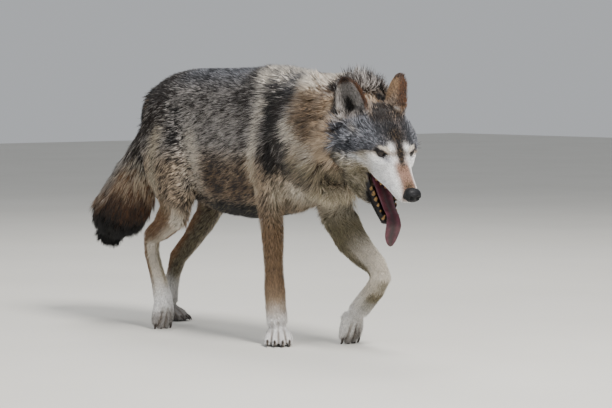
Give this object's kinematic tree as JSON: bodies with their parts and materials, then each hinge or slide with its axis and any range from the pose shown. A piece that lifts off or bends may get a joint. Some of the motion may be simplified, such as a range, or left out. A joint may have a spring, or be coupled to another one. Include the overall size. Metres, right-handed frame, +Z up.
{
  "type": "grey wolf",
  "caption": "Life-size grey wolf at a walk, head low and mouth open with the tongue out, two feet full on the floor and two on their toe tips.",
  "frame": {"origin": "on the floor, under the middle of the animal's bounding box", "axes": "+X the way the body heads, +Y the animal's left side, +Z up"},
  "size_m": [1.3156, 0.2744, 0.6906],
  "materials": {
    "fur_back": "dark grey-brown agouti fur",
    "fur_mane": "warm grey-brown fur of the neck",
    "fur_face": "short grey and white fur of the face",
    "fur_pale": "pale cream fur of legs and jaw",
    "fur_tan": "rusty tan fur of ears and outer legs",
    "fur_brush": "dark tipped fur of the tail",
    "nose_leather": "moist black",
    "tongue_flesh": "wet, dark pink",
    "eye": "clear gloss, amber-brown iris",
    "claw_horn": "dark horn",
    "tooth": "ivory to ochre enamel",
    "mouth_skin": "wet dark lining and black lips"
  },
  "bodies": {
    "root": {"head": "fur_face", "lower_jaw": "fur_pale", "ear_right": "fur_tan", "ear_left": "fur_tan", "eye_right": "eye", "eye_left": "eye", "nose": "nose_leather", "tongue": "tongue_flesh", "neck": "fur_mane", "chest": "fur_back", "belly": "fur_back", "hips": "fur_back", "tail": "fur_brush", "foreleg_right": "fur_tan", "forepaw_right": "fur_pale", "foreleg_left": "fur_pale", "forepaw_left": "fur_pale", "hind_leg_right": "fur_tan", "hind_paw_right": "fur_pale", "hind_leg_left": "fur_pale", "hind_paw_left": "fur_pale"}
  },
  "joints": []
}
